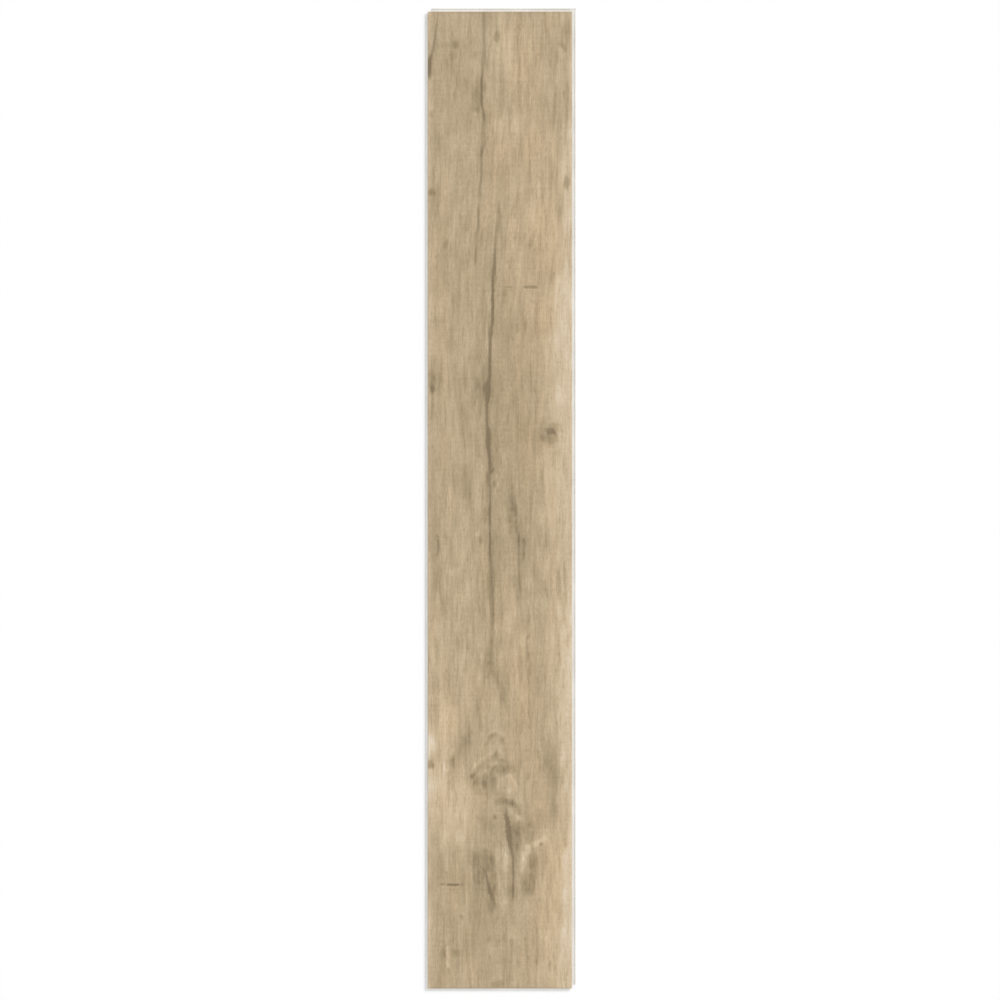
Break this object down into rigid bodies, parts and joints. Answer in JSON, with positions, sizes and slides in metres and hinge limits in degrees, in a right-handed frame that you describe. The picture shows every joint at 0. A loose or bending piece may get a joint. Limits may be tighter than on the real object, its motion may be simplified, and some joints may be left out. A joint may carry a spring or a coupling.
{
  "type": "rigid core vinyl plank",
  "caption": "Flat wood-print rigid core vinyl floor plank with bevelled face edges and a click-lock tongue and groove milled round its edges.",
  "frame": {"origin": "on the underside, below the middle of the printed face, so that laid planks repeat at the face width and length", "axes": "+Z out of the printed face, Y along the length with the end groove on +Y and the end tongue on -Y, +X towards the long groove"},
  "size_m": [0.187, 1.227, 0.005],
  "materials": {
    "printed_vinyl": "matte"
  },
  "bodies": {
    "root": {"plank": "printed_vinyl"}
  },
  "joints": []
}
